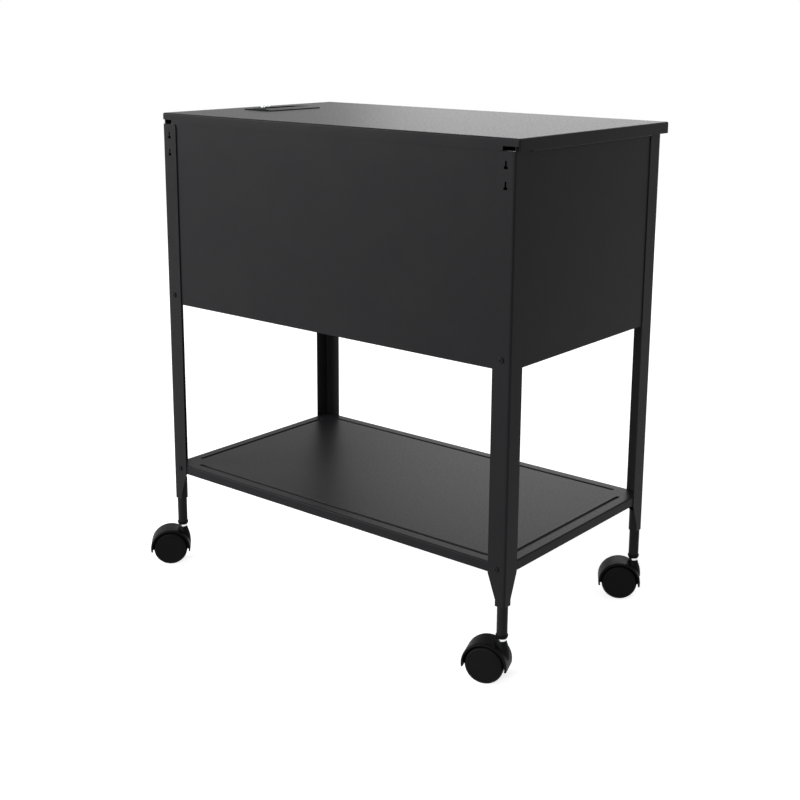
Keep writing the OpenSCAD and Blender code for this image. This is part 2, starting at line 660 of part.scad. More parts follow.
// One wheel on the +Y side: closed outside, with a blind bore and a ring round its face
module wheel() color(plastic_black) translate([trail, wheel_in, axle_z]) rotate([-90, 0, 0]) rotate_extrude($fn = 96)
    polygon(concat([[axle_d / 2 + running, 0], [wheel_r - 1, 0], [wheel_r, 1]],
        [for (a = [0 : 22.5 : 90]) [wheel_r - tread_round * (1 - cos(a)), wheel_w - tread_round * (1 - sin(a))]],
        [[wheel_r - tread_round - 0.8, wheel_w - 0.5], [wheel_r - tread_round - 1.6, wheel_w - 0.5],
        [wheel_r - tread_round - 2.2, wheel_w - 0.2], [0, wheel_w - 0.2], [0, wheel_w - 3.5],
        [axle_d / 2 + running, wheel_w - 3.5]]));

module inner_wheel() wheel();
module outer_wheel() mirror([0, 1, 0]) wheel();

quarter(-1, -1) leg();  // front_left_leg
quarter(1, -1) leg();  // front_right_leg
quarter(-1, 1) leg();  // rear_left_leg
quarter(1, 1) leg();  // rear_right_leg
long_panel();  // front_panel
mirror([0, 1, 0]) long_panel();  // rear_panel
mirror([1, 0, 0]) end_panel();  // left_end_panel
end_panel();  // right_end_panel
tub_floor();
shelf();
folder_rail();  // front_folder_rail
mirror([0, 1, 0]) folder_rail();  // rear_folder_rail
rail_brackets();
lock_strike();
lid_bumpers();
tub_screws();
tub_nuts();
shelf_screws();
shelf_nuts();
caster_sockets();
body_hinge_leaf();
hinge_pin();
lid_hinge_leaf();
lid_shell();
lid_pull();
lock_housing();
lock_nut();
lock_plug();
lock_cam();
caster_at(-1, -1, trail_front_left) stem();  // front_left_stem
caster_at(-1, -1, trail_front_left) hood();  // front_left_hood
caster_at(-1, -1, trail_front_left) axle();  // front_left_axle
caster_at(-1, -1, trail_front_left) outer_wheel();  // front_left_outer_wheel
caster_at(-1, -1, trail_front_left) inner_wheel();  // front_left_inner_wheel
caster_at(1, -1, trail_front_right) stem();  // front_right_stem
caster_at(1, -1, trail_front_right) hood();  // front_right_hood
caster_at(1, -1, trail_front_right) axle();  // front_right_axle
caster_at(1, -1, trail_front_right) outer_wheel();  // front_right_outer_wheel
caster_at(1, -1, trail_front_right) inner_wheel();  // front_right_inner_wheel
caster_at(-1, 1, trail_rear_left) stem();  // rear_left_stem
caster_at(-1, 1, trail_rear_left) hood();  // rear_left_hood
caster_at(-1, 1, trail_rear_left) axle();  // rear_left_axle
caster_at(-1, 1, trail_rear_left) outer_wheel();  // rear_left_outer_wheel
caster_at(-1, 1, trail_rear_left) inner_wheel();  // rear_left_inner_wheel
caster_at(1, 1, trail_rear_right) stem();  // rear_right_stem
caster_at(1, 1, trail_rear_right) hood();  // rear_right_hood
caster_at(1, 1, trail_rear_right) axle();  // rear_right_axle
caster_at(1, 1, trail_rear_right) outer_wheel();  // rear_right_outer_wheel
caster_at(1, 1, trail_rear_right) inner_wheel();  // rear_right_inner_wheel
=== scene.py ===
import math

import bmesh
import bpy
from mathutils import Matrix, Vector


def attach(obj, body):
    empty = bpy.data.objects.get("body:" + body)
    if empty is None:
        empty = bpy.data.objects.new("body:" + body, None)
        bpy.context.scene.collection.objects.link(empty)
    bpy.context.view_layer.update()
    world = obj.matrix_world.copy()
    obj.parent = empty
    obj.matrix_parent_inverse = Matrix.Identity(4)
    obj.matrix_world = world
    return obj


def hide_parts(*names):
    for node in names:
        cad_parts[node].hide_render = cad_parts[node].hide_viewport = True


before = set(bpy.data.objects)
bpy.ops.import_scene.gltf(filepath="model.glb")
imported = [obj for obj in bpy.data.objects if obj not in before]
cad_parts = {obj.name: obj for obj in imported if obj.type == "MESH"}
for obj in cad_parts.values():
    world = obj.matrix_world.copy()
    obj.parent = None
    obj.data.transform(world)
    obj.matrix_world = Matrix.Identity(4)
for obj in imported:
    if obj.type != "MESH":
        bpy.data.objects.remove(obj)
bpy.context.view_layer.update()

mm = 0.001
print("frame loaded:", len(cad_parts), "nodes")


# colours are typed as they look, in sRGB hex
def hexColour(code):
    channels = [int(code[i:i + 2], 16) / 255 for i in (1, 3, 5)]
    linear = [c / 12.92 if c <= 0.04045 else ((c + 0.055) / 1.055) ** 2.4 for c in channels]
    return (*linear, 1.0)


# adds one node: settings go on its sockets or properties, links are {input: (node, output)}
def addNode(tree, kind, settings=None, links=None):
    node = tree.nodes.new(kind)
    for name, value in (settings or {}).items():
        if isinstance(name, int) or name in node.inputs:
            node.inputs[name].default_value = value
        else:
            setattr(node, name, value)
    for name, (source, output) in (links or {}).items():
        tree.links.new(source.outputs[output], node.inputs[name])
    return node


def startMaterial(name):
    material = bpy.data.materials.new(name)
    material.use_nodes = True
    tree = material.node_tree
    tree.nodes.clear()
    place = addNode(tree, "ShaderNodeTexCoord")
    return material, tree, place


# Noise and Voronoi scales are repeats per metre
def perMetre(sizeMm):
    return 1 / (sizeMm * mm)


powderCoat = {
    "colour": "#18181a",
    "dustyColour": "#1d1d1e",
    "roughness": 0.38,
    "roughnessSpread": 0.05,
    "peelMm": 3.2,      # real orange peel is about 1 mm, drawn coarser so that it shows
    "peelHeightMm": 0.1,
    "cloudMm": 60,
}


# black polyester powder coat on steel, baked: satin, with an orange-peel skin that breaks up reflections
def makePowderCoat():
    p = powderCoat
    material, tree, place = startMaterial("satinBlackPowderCoat")
    cloud = addNode(tree, "ShaderNodeTexNoise", {"Scale": perMetre(p["cloudMm"]), "Detail": 3.0},
                    {"Vector": (place, "Object")})
    tone = addNode(tree, "ShaderNodeMix",
                   {"data_type": "RGBA", 6: hexColour(p["colour"]), 7: hexColour(p["dustyColour"])},
                   {0: (cloud, "Fac")})
    peel = addNode(tree, "ShaderNodeTexNoise",
                   {"Scale": perMetre(p["peelMm"]), "Detail": 2.0, "Roughness": 0.55},
                   {"Vector": (place, "Object")})
    gloss = addNode(tree, "ShaderNodeMapRange",
                    {"From Min": 0.3, "From Max": 0.7, "To Min": p["roughness"] - p["roughnessSpread"],
                     "To Max": p["roughness"] + p["roughnessSpread"]}, {"Value": (peel, "Fac")})
    bump = addNode(tree, "ShaderNodeBump", {"Strength": 0.5, "Distance": p["peelHeightMm"] * mm},
                   {"Height": (peel, "Fac")})
    coat = addNode(tree, "ShaderNodeBsdfPrincipled", {"IOR": 1.5, "Specular IOR Level": 0.05},
                   {"Base Color": (tone, 2), "Roughness": (gloss, "Result"), "Normal": (bump, "Normal")})
    addNode(tree, "ShaderNodeOutputMaterial", links={"Surface": (coat, "BSDF")})
    return material


plastics = {
    "mouldedBlackNylon": {"colour": "#0e0e0f", "roughness": 0.48, "grainMm": 1.6, "heightMm": 0.04},
    "mouldedBlackAbs": {"colour": "#0c0c0d", "roughness": 0.36, "grainMm": 1.2, "heightMm": 0.02},
    "mouldedBlackPolypropylene": {"colour": "#0c0c0d", "roughness": 0.5, "grainMm": 1.6, "heightMm": 0.03},
    "mattBlackRubber": {"colour": "#0f0f0f", "roughness": 0.8, "grainMm": 0.8, "heightMm": 0.05},
}
plasticFlow = {"sizeMm": 18, "shade": 0.75, "roughnessSpread": 0.05}


# moulded plastics: the mould's fine grain, with tone and gloss changing slowly where the melt flowed
def makePlastic(name):
    p = plastics[name]
    flowed = plasticFlow
    material, tree, place = startMaterial(name)
    grain = addNode(tree, "ShaderNodeTexNoise", {"Scale": perMetre(p["grainMm"]), "Detail": 2.0},
                    {"Vector": (place, "Object")})
    flow = addNode(tree, "ShaderNodeTexNoise", {"Scale": perMetre(flowed["sizeMm"]), "Detail": 2.0},
                   {"Vector": (place, "Object")})
    gloss = addNode(tree, "ShaderNodeMapRange",
                    {"From Min": 0.3, "From Max": 0.7, "To Min": p["roughness"] - flowed["roughnessSpread"],
                     "To Max": p["roughness"] + flowed["roughnessSpread"]}, {"Value": (flow, "Fac")})
    darker = [c * flowed["shade"] for c in hexColour(p["colour"])[:3]] + [1.0]
    tone = addNode(tree, "ShaderNodeMix", {"data_type": "RGBA", 6: darker, 7: hexColour(p["colour"])},
                   {0: (flow, "Fac")})
    bump = addNode(tree, "ShaderNodeBump", {"Strength": 0.3, "Distance": p["heightMm"] * mm},
                   {"Height": (grain, "Fac")})
    shader = addNode(tree, "ShaderNodeBsdfPrincipled", {"IOR": 1.5, "Specular IOR Level": 0.05},
                     {"Base Color": (tone, 2), "Roughness": (gloss, "Result"), "Normal": (bump, "Normal")})
    addNode(tree, "ShaderNodeOutputMaterial", links={"Surface": (shader, "BSDF")})
    return material


zincPlate = {
    "colour": "#c4c7ca", "brightColour": "#dadcde", "cloudMm": 6,
    "smoothest": 0.14, "dullest": 0.26, "marksMm": 0.7, "marksHeightMm": 0.02,
}


# bright zinc plate on steel: smooth, slightly bluish, with faint turning marks
def makeBrightZinc():
    z = zincPlate
    material, tree, place = startMaterial("brightZincPlate")
    marks = addNode(tree, "ShaderNodeTexNoise", {"Scale": perMetre(z["marksMm"]), "Detail": 3.0},
                    {"Vector": (place, "Object")})
    gloss = addNode(tree, "ShaderNodeMapRange",
                    {"From Min": 0.3, "From Max": 0.7, "To Min": z["smoothest"], "To Max": z["dullest"]},
                    {"Value": (marks, "Fac")})
    bump = addNode(tree, "ShaderNodeBump", {"Strength": 0.1, "Distance": z["marksHeightMm"] * mm},
                   {"Height": (marks, "Fac")})
    cloud = addNode(tree, "ShaderNodeTexNoise", {"Scale": perMetre(z["cloudMm"]), "Detail": 2.0},
                    {"Vector": (place, "Object")})
    tone = addNode(tree, "ShaderNodeMix",
                   {"data_type": "RGBA", 6: hexColour(z["colour"]), 7: hexColour(z["brightColour"])},
                   {0: (cloud, "Fac")})
    shader = addNode(tree, "ShaderNodeBsdfPrincipled", {"Metallic": 1.0},
                     {"Base Color": (tone, 2), "Roughness": (gloss, "Result"), "Normal": (bump, "Normal")})
    addNode(tree, "ShaderNodeOutputMaterial", links={"Surface": (shader, "BSDF")})
    return material


galvanising = {
    "colour": "#9ea2a5", "brightColour": "#bcc0c2", "spangleMm": 8,
    "smoothest": 0.32, "dullest": 0.5, "grainMm": 1.2, "grainHeightMm": 0.02,
}


# hot-dip galvanised sheet: dull grey with flat crystal spangles
def makeGalvanised():
    g = galvanising
    material, tree, place = startMaterial("galvanisedSheet")
    spangle = addNode(tree, "ShaderNodeTexVoronoi", {"Scale": perMetre(g["spangleMm"])},
                      {"Vector": (place, "Object")})
    grey = addNode(tree, "ShaderNodeSeparateColor", links={"Color": (spangle, "Color")})
    tone = addNode(tree, "ShaderNodeMix",
                   {"data_type": "RGBA", 6: hexColour(g["colour"]), 7: hexColour(g["brightColour"])},
                   {0: (grey, "Red")})
    gloss = addNode(tree, "ShaderNodeMapRange", {"To Min": g["smoothest"], "To Max": g["dullest"]},
                    {"Value": (grey, "Green")})
    grain = addNode(tree, "ShaderNodeTexNoise", {"Scale": perMetre(g["grainMm"]), "Detail": 2.0},
                    {"Vector": (place, "Object")})
    bump = addNode(tree, "ShaderNodeBump", {"Strength": 0.15, "Distance": g["grainHeightMm"] * mm},
                   {"Height": (grain, "Fac")})
    shader = addNode(tree, "ShaderNodeBsdfPrincipled", {"Metallic": 1.0},
                     {"Base Color": (tone, 2), "Roughness": (gloss, "Result"), "Normal": (bump, "Normal")})
    addNode(tree, "ShaderNodeOutputMaterial", links={"Surface": (shader, "BSDF")})
    return material


coatBlack = makePowderCoat()
nylonBlack = makePlastic("mouldedBlackNylon")
absBlack = makePlastic("mouldedBlackAbs")
socketBlack = makePlastic("mouldedBlackPolypropylene")
bumperRubber = makePlastic("mattBlackRubber")
brightZinc = makeBrightZinc()
galvanised = makeGalvanised()
print("materials made")


def clearSelection():
    if bpy.context.object and bpy.context.object.mode != "OBJECT":
        bpy.ops.object.mode_set(mode="OBJECT")
    bpy.ops.object.select_all(action="DESELECT")


def takeUp(piece):
    clearSelection()
    piece.select_set(True)
    bpy.context.view_layer.objects.active = piece


# opens edit mode with nothing picked, or with everything
def openEdit(piece, kind="FACE", picked="DESELECT"):
    takeUp(piece)
    bpy.ops.object.mode_set(mode="EDIT")
    bpy.ops.mesh.select_mode(type=kind)
    bpy.ops.mesh.select_all(action=picked)


def leaveEdit():
    bpy.ops.object.mode_set(mode="OBJECT")


# settles the primitive just added: its place goes into its mesh
def settle(name):
    piece = bpy.context.object
    piece.name = piece.data.name = name
    bpy.ops.object.transform_apply(location=True, rotation=True, scale=True)
    return piece


def addBlock(name, low, high):
    clearSelection()
    bpy.ops.mesh.primitive_cube_add(size=1, location=[(a + b) / 2 * mm for a, b in zip(low, high)])
    bpy.context.object.scale = [abs(b - a) * mm for a, b in zip(low, high)]
    return settle(name)


# a round bar from one point to the other
def addRound(name, start, end, diameter, sides=48):
    clearSelection()
    start, end = Vector(start) * mm, Vector(end) * mm
    run = end - start
    bpy.ops.mesh.primitive_cylinder_add(vertices=sides, radius=diameter / 2 * mm, depth=run.length,
                                        location=(start + end) / 2)
    bpy.context.object.rotation_euler = run.to_track_quat("Z", "Y").to_euler()
    return settle(name)


# a flat face with its corners at the given points, in mm
def addOutline(name, points):
    clearSelection()
    bpy.ops.mesh.primitive_circle_add(vertices=len(points), radius=1, fill_type="NGON")
    face = settle(name)
    for vertex, point in zip(face.data.vertices, points):
        vertex.co = [v * mm for v in point]
    face.data.update()
    return face


# picks faces by test(centre, normal), in mm
def pickFaces(piece, test):
    openEdit(piece, "FACE")
    mesh = bmesh.from_edit_mesh(piece.data)
    for face in mesh.faces:
        face.select_set(bool(test(face.calc_center_median() / mm, face.normal)))
    bmesh.update_edit_mesh(piece.data)


# picks edges by test(one end, other end), in mm
def pickEdges(piece, test):
    openEdit(piece, "EDGE")
    mesh = bmesh.from_edit_mesh(piece.data)
    for edge in mesh.edges:
        edge.select_set(bool(test(edge.verts[0].co / mm, edge.verts[1].co / mm)))
    bmesh.update_edit_mesh(piece.data)


# places less than 0.05 mm apart count as the same
def near(a, b):
    return abs(a - b) < 0.05


# a test for edges that lie at the given places, such as z=157, and not further out along Y than withinY
def at(withinY=1000, **places):
    return lambda a, b: (all(near(getattr(v, axis), place) for v in (a, b) for axis, place in places.items())
                         and max(abs(a.y), abs(b.y)) < withinY + 0.1)


def upright(a, b):
    return not near(a.z, b.z)


def roundEdges(piece, test, radius, steps):
    pickEdges(piece, test)
    bpy.ops.mesh.bevel(offset=radius * mm, segments=steps, profile=0.5, affect="EDGES", clamp_overlap=True)
    leaveEdit()


# pulls edges out by one step after the other, in mm
def pullEdges(piece, test, *steps):
    pickEdges(piece, test)
    for step in steps:
        bpy.ops.mesh.extrude_edges_move(TRANSFORM_OT_translate={"value": [v * mm for v in step]})
    leaveEdit()


# pulls the picked faces out by a step, in mm
def pullFaces(step):
    bpy.ops.mesh.extrude_region_move(TRANSFORM_OT_translate={"value": [v * mm for v in step]})
    leaveEdit()


def dropFaces(piece, test):
    pickFaces(piece, test)
    bpy.ops.mesh.delete(type="FACE")
    leaveEdit()


def applyModifier(piece, kind, **settings):
    takeUp(piece)
    modifier = piece.modifiers.new(kind.title(), kind)
    for name, value in settings.items():
        setattr(modifier, name, value)
    bpy.ops.object.modifier_apply(modifier=modifier.name)


# gives a sheet its thickness, inwards from its outer face
def thicken(piece, thickness, even=True):
    applyModifier(piece, "SOLIDIFY", thickness=thickness * mm, offset=-1, use_even_offset=even)


def joinPieces(pieces, name):
    clearSelection()
    for piece in pieces:
        piece.select_set(True)
    bpy.context.view_layer.objects.active = pieces[0]
    if len(pieces) > 1:
        bpy.ops.object.join()
    joined = bpy.context.object
    joined.name = joined.data.name = name
    return joined


# closes what is open and turns all faces out
def closeUp(piece):
    openEdit(piece, "EDGE")
    bpy.ops.mesh.select_non_manifold()
    bpy.ops.mesh.edge_face_add()
    bpy.ops.mesh.select_all(action="SELECT")
    bpy.ops.mesh.normals_make_consistent(inside=False)
    leaveEdit()


def discard(piece):
    bpy.data.objects.remove(piece, do_unlink=True)


# cuts one piece with others, or welds them to it; the others are used up
def cutOut(piece, cutters, operation="DIFFERENCE"):
    tool = joinPieces(cutters, "cutter")
    applyModifier(piece, "BOOLEAN", operation=operation, solver="EXACT", object=tool,
                  use_self=operation == "DIFFERENCE")
    discard(tool)


# a copy with its own mesh, put elsewhere by a matrix; a mirrored one has its faces turned out again
def copyTo(piece, name, matrix):
    twin = piece.copy()
    twin.data = piece.data.copy()
    twin.name = twin.data.name = name
    bpy.context.collection.objects.link(twin)
    twin.data.transform(matrix)
    if matrix.determinant() < 0:
        twin.data.flip_normals()
    return twin


def finishPiece(piece, material, body, node, angle=35):
    takeUp(piece)
    bpy.ops.object.shade_smooth_by_angle(angle=math.radians(angle))
    applyModifier(piece, "WEIGHTED_NORMAL", keep_sharp=True)  # flats shade flat up to their bends
    piece.data.materials.clear()
    piece.data.materials.append(material)
    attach(piece, body)
    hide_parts(node)


mirrorX = Matrix.Diagonal((-1, 1, 1, 1))
mirrorY = Matrix.Diagonal((1, -1, 1, 1))
quarters = {  # from the front right corner to each of the four
    "front_right": Matrix.Identity(4),
    "front_left": mirrorX,
    "rear_right": mirrorY,
    "rear_left": mirrorX @ mirrorY,
}


camera = {
    "place": (1146.9, -1413.2, 809.6),  # mm
    "turn": 39.19,      # degrees from looking along +Y
    "down": 12.919,     # degrees below the horizon
    "roll": 0.341,
    "pictureWidth": 800,
    "focalPx": 1313.9,
    "shiftPx": -80,     # only as much as the picture's framing needs
    "sensorMm": 36,
}


# the camera comes first, at the photograph's angle
def placeCamera():
    c = camera
    clearSelection()
    bpy.ops.object.camera_add(location=[v * mm for v in c["place"]],
                              rotation=(math.radians(90 - c["down"]), 0, math.radians(c["turn"])))
    eye = bpy.context.object
    eye.name = "camera"
    eye.rotation_euler.rotate_axis("Z", math.radians(c["roll"]))
    eye.data.sensor_width = c["sensorMm"]
    eye.data.lens = c["focalPx"] / c["pictureWidth"] * c["sensorMm"]
    eye.data.shift_y = c["shiftPx"] / c["pictureWidth"]
    eye.data.clip_start, eye.data.clip_end = 0.05, 50
    bpy.context.scene.camera = eye


placeCamera()
print("camera placed")


# sizes and places are in mm from here on; a cutter goes a little past what it cuts
lid = {
    "free": -302.5, "hinged": 308, "front": -171, "rear": 181,
    "top": 678, "skirt": 15, "sheet": 1.2,
    "bend": 2.2, "cornerBend": 2.6,  # the corner's is the wider one, or the inside would fold over itself
    "slit": 0.6, "reliefFrom": 284, "reliefHeight": 9.5, "endRelief": 8,
    "through": 0.4,  # how far a cut goes on past the sheet's inner face
    "pullHole": (50, 98), "lockHole": 11.4,
}
pull = {
    "x": -236.5, "y": 5, "width": 57, "length": 106, "corner": 4,
    "rim": 1.4, "grip": 3.2, "gripIn": 13.5, "gripEdge": 1.3, "softEdge": 0.35,
    "cupWidth": 49, "cupLength": 96, "cupDepth": 14, "cupCorner": 4, "cupBend": 1.5, "wall": 1.8,
}
lock = {
    "x": -273.5, "y": 5, "collar": 14, "collarHeight": 3.1, "collarRound": 1.0,
    "barrel": 11, "barrelLow": 658.4, "tail": 5, "tailLow": 654.4,
    "plug": 8, "plugGap": 0.05, "plugSink": 0.3, "plugRound": 0.35,
    "keyWidth": 1.2, "keyHeight": 6, "keyDepth": 5,
}


# folded from one sheet: a pan with a bent top edge, open seams at the corners and reliefs over the front legs
def makeLid():
    n = lid
    low, reliefTop, wall = n["top"] - n["skirt"], n["top"] - n["reliefHeight"], n["sheet"] + n["through"]
    shell = addBlock("lidShell", (n["free"], n["front"], low), (n["hinged"], n["rear"], n["top"]))
    dropFaces(shell, lambda centre, normal: normal.z < -0.9)
    roundEdges(shell, upright, n["cornerBend"], 2)
    roundEdges(shell, at(z=n["top"]), n["bend"], 4)
    thicken(shell, n["sheet"])
    # each kind of cutter starts at its own height, so that no two of their faces lie in one plane
    cutters = [addBlock("endRelief", (n["free"] - 1, n["front"] - 1.2, low - 1),
                        (n["free"] + wall, n["front"] + n["endRelief"], reliefTop))]
    for side, end in ((-1, n["free"]), (1, n["hinged"])):
        inside = end - side * n["sheet"]
        cutters.append(addBlock("relief", (side * n["reliefFrom"], n["front"] - 1, low - 1.2),
                                (inside, n["front"] + wall, reliefTop)))
        for y in (n["front"], n["rear"]):
            cutters.append(addBlock("seam", (inside - side * n["slit"], y - wall, low - 1.4),
                                    (inside, y + wall, n["top"] - n["bend"])))
    halfX, halfY = (size / 2 for size in n["pullHole"])
    cutters.append(addBlock("pullHole", (pull["x"] - halfX, pull["y"] - halfY, n["top"] - 4),
                            (pull["x"] + halfX, pull["y"] + halfY, n["top"] + 4)))
    cutters.append(addRound("lockHole", (lock["x"], lock["y"], n["top"] - 4),
                            (lock["x"], lock["y"], n["top"] + 4), n["lockHole"]))
    cutOut(shell, cutters)
    finishPiece(shell, coatBlack, "lid", "lid_shell")


# moulded pull: a ridged plate, open in the middle, and the finger cup under it
def makePull():
    p = pull
    top, x, y = lid["top"], p["x"], p["y"]
    half, halfMouth = p["width"] / 2, p["cupLength"] / 2 - p["wall"]
    profile = [(-half, 0), (half, 0), (half, p["gripEdge"]), (p["gripIn"], p["grip"]), (-half, p["rim"])]
    front = y - p["length"] / 2
    plate = addOutline("lidPull", [(x + across, front, top + height) for across, height in profile])
    pickFaces(plate, lambda centre, normal: True)
    pullFaces((0, p["length"], 0))
    closeUp(plate)
    roundEdges(plate, lambda a, b: near(abs(a.x - x), half) and near(a.x, b.x) and near(a.y, b.y),
               p["corner"], 6)
    mouthLow = x - p["cupWidth"] / 2 + p["wall"]
    mouth = addBlock("mouth", (mouthLow, y - halfMouth, top - 2), (x + p["gripIn"], y + halfMouth, top + 6))
    roundEdges(mouth, lambda a, b: at(x=mouthLow)(a, b) and upright(a, b), p["corner"] - p["wall"], 4)
    cutOut(plate, [mouth])
    applyModifier(plate, "BEVEL", width=p["softEdge"] * mm, segments=3, limit_method="ANGLE",
                  angle_limit=math.radians(38))
    halfX, halfY, floor = p["cupWidth"] / 2, p["cupLength"] / 2, top - p["cupDepth"]
    cup = addBlock("cup", (x - halfX, y - halfY, floor), (x + halfX, y + halfY, top))
    roundEdges(cup, upright, p["cupCorner"], 5)
    roundEdges(cup, at(z=floor), p["cupBend"], 3)
    pickFaces(cup, lambda centre, normal: normal.z > 0.9)
    bpy.ops.mesh.inset(thickness=p["wall"] * mm, depth=0)
    pullFaces((0, 0, p["wall"] - p["cupDepth"]))
    finishPiece(joinPieces([plate, cup], "lidPull"), absBlack, "lid", "lid_pull")


# plated key lock: a rounded collar and barrel, and the plug with its key slot, sunk a little
def makeLock():
    k = lock
    x, y, top = k["x"], k["y"], lid["top"]
    high = top + k["collarHeight"]
    plugTop = high - k["plugSink"]
    collar = addRound("lockHousing", (x, y, top), (x, y, high), k["collar"], 64)
    roundEdges(collar, at(z=high), k["collarRound"], 4)
    barrel = addRound("barrel", (x, y, k["barrelLow"]), (x, y, top + 0.5), k["barrel"], 48)
    collar = joinPieces([collar, barrel], "lockHousing")
    boreSize = k["plug"] + 2 * k["plugGap"]
    cutOut(collar, [addRound("bore", (x, y, k["barrelLow"] - 1), (x, y, high + 1), boreSize, 64)])
    finishPiece(collar, brightZinc, "lid", "lock_housing")
    plug = addRound("lockPlug", (x, y, k["barrelLow"]), (x, y, plugTop), k["plug"], 64)
    roundEdges(plug, at(z=plugTop), k["plugRound"], 2)
    tail = addRound("tail", (x, y, k["tailLow"]), (x, y, k["barrelLow"] + 1), k["tail"], 32)
    plug = joinPieces([plug, tail], "lockPlug")
    halfX, halfY = k["keyWidth"] / 2, k["keyHeight"] / 2
    cutOut(plug, [addBlock("keySlot", (x - halfX, y - halfY, high - k["keyDepth"]),
                           (x + halfX, y + halfY, high + 1))])
    finishPiece(plug, brightZinc, "lock", "lock_plug")


makeLid()
makePull()
makeLock()
print("lid, pull and lock made")


leg = {
    "outX": 302, "outY": -171, "top": 662.6, "bottom": 64,
    "flange": 26, "sheet": 1.2, "bend": 2.6, "topCorner": 4, "pointsAcross": 41,
    "taperLow": 110, "taperTop": 143,
    "tube": 14, "tubeWall": 1.2, "sleeve": 17, "sleeveLow": 102, "sleeveTop": 133,
    "sleeveInside": 0.4,  # the sleeve stays this far behind the outer faces
    "slotX": 289, "slotHeights": (647, 623), "slotHeight": 9.5, "slotUpper": 2.4,
    "slotFoot": 5.5, "slotFootHeight": 3.2,
    "screwHeights": (416, 150.5), "screwHole": 4.4,  # at the tub and at the shelf
}


# the leg's section at a height, from the front flange's edge round the corner to the side flange's edge
def legSection(height):
    g = leg
    blend = min(max((height - g["taperLow"]) / (g["taperTop"] - g["taperLow"]), 0), 1)
    flat = g["tube"] + (g["flange"] - g["tube"]) * blend - g["bend"]
    straight, arc = g["flange"] - g["bend"], g["bend"] * math.pi / 2
    rows = []
    for i in range(g["pointsAcross"]):
        along = (2 * straight + arc) * i / (g["pointsAcross"] - 1)
        if along < straight:
            rows.append((g["outX"] - g["bend"] - flat + along / straight * flat, g["outY"]))
        elif along < straight + arc:
            turn = (along - straight) / g["bend"]
            rows.append((g["outX"] - g["bend"] * (1 - math.sin(turn)),
                         g["outY"] + g["bend"] * (1 - math.cos(turn))))
        else:
            rows.append((g["outX"], g["outY"] + g["bend"] + (along - straight - arc) / straight * flat))
    return rows


# how far the flanges' round top corners drop at a point of the section
def cornerDrop(i):
    g = leg
    edge = min(i, g["pointsAcross"] - 1 - i) * 2 * g["flange"] / (g["pointsAcross"] - 1)
    inset = max(g["topCorner"] - edge, 0)
    return g["topCorner"] - math.sqrt(g["topCorner"] ** 2 - inset ** 2)


# the leg's sheet: a grid is the flat blank, folded to its sections, thickened and punched
def makeLegSheet():
    g = leg
    heights = [g["sleeveLow"], g["taperLow"], g["taperTop"], g["top"]]
    clearSelection()
    bpy.ops.mesh.primitive_grid_add(x_subdivisions=g["pointsAcross"] - 1,
                                    y_subdivisions=len(heights) - 1, size=2)
    blank = settle("leg")
    for row, height in enumerate(heights):
        for i, (x, y) in enumerate(legSection(height)):
            drop = cornerDrop(i) if height == g["top"] else 0
            blank.data.vertices[row * g["pointsAcross"] + i].co = (x * mm, y * mm, (height - drop) * mm)
    blank.data.update()
    # the front flange has to face the front
    if min(blank.data.polygons, key=lambda f: f.center.y).normal.y > 0:
        blank.data.flip_normals()
    thicken(blank, g["sheet"])
    x, front, back = g["slotX"], g["outY"] - 2, g["outY"] + 3
    cutters = []
    for z in g["slotHeights"]:
        low, high = z - g["slotHeight"] / 2, z + g["slotHeight"] / 2
        halfUpper, halfFoot = g["slotUpper"] / 2, g["slotFoot"] / 2
        cutters.append(addBlock("slotUpper", (x - halfUpper, front, low + 0.5), (x + halfUpper, back, high)))
        cutters.append(addBlock("slotFoot", (x - halfFoot, front, low),
                                (x + halfFoot, back, low + g["slotFootHeight"])))
    for z in g["screwHeights"]:
        cutters.append(addRound("screwHole", (x, front, z), (x, back, z), g["screwHole"], 24))
    for cutter in cutters:
        cutOut(blank, [cutter])
    return blank


# one leg at the front right: the sheet, with the foot's sleeve and tube welded into its corner
def makeLeg():
    g = leg
    blank = makeLegSheet()
    x, y = g["outX"] - g["tube"] / 2, g["outY"] + g["tube"] / 2
    low, high = g["sleeveLow"], g["sleeveTop"]
    sideCut, frontCut = g["outX"] - g["sleeveInside"], g["outY"] + g["sleeveInside"]
    sleeve = addRound("sleeve", (x, y, low), (x, y, high), g["sleeve"], 64)
    cutOut(sleeve, [addBlock("beyondSide", (sideCut, y - 20, low - 1), (sideCut + 10, y + 20, high + 1))])
    cutOut(sleeve, [addBlock("beyondFront", (x - 20, frontCut - 10, low - 1), (x + 20, frontCut, high + 1))])
    tube = addRound("tube", (x, y, g["bottom"]), (x, y, low + 1), g["tube"], 64)
    bore = g["tube"] - 2 * g["tubeWall"]
    for part in (sleeve, tube):
        cutOut(part, [addRound("bore", (x, y, g["bottom"] - 1), (x, y, high + 1), bore, 64)])
    return joinPieces([blank, sleeve, tube], "leg")


def makeLegs():
    first = makeLeg()
    for corner, matrix in quarters.items():
        twin = copyTo(first, corner + "Leg", matrix)
        finishPiece(twin, coatBlack, "cabinet", corner + "_leg", angle=30)
    discard(first)


makeLegs()
print("legs made")


panel = {
    "fieldHalf": 280, "fieldY": -169.2, "tabY": -169.8, "tabX": 300.8,
    "bottom": 403, "legTop": 662.6, "top": 674.3,
    "flange": 11, "hem": 9, "sheet": 1.0,
    "hemSheet": 0.99,   # a hair thinner, so that the hem's two layers don't touch
    "bend": 1.6, "joggleBend": 0.2, "hemBend": 0.95,
    "slotRoomX": 0.35, "slotRoomZ": 0.3,  # a slot's room at each side round the leg's slot in front of it
    "endX": 300.8, "endHalf": 168.8, "neckHalf": 168.2, "endFlangeHalf": 156.8,
}


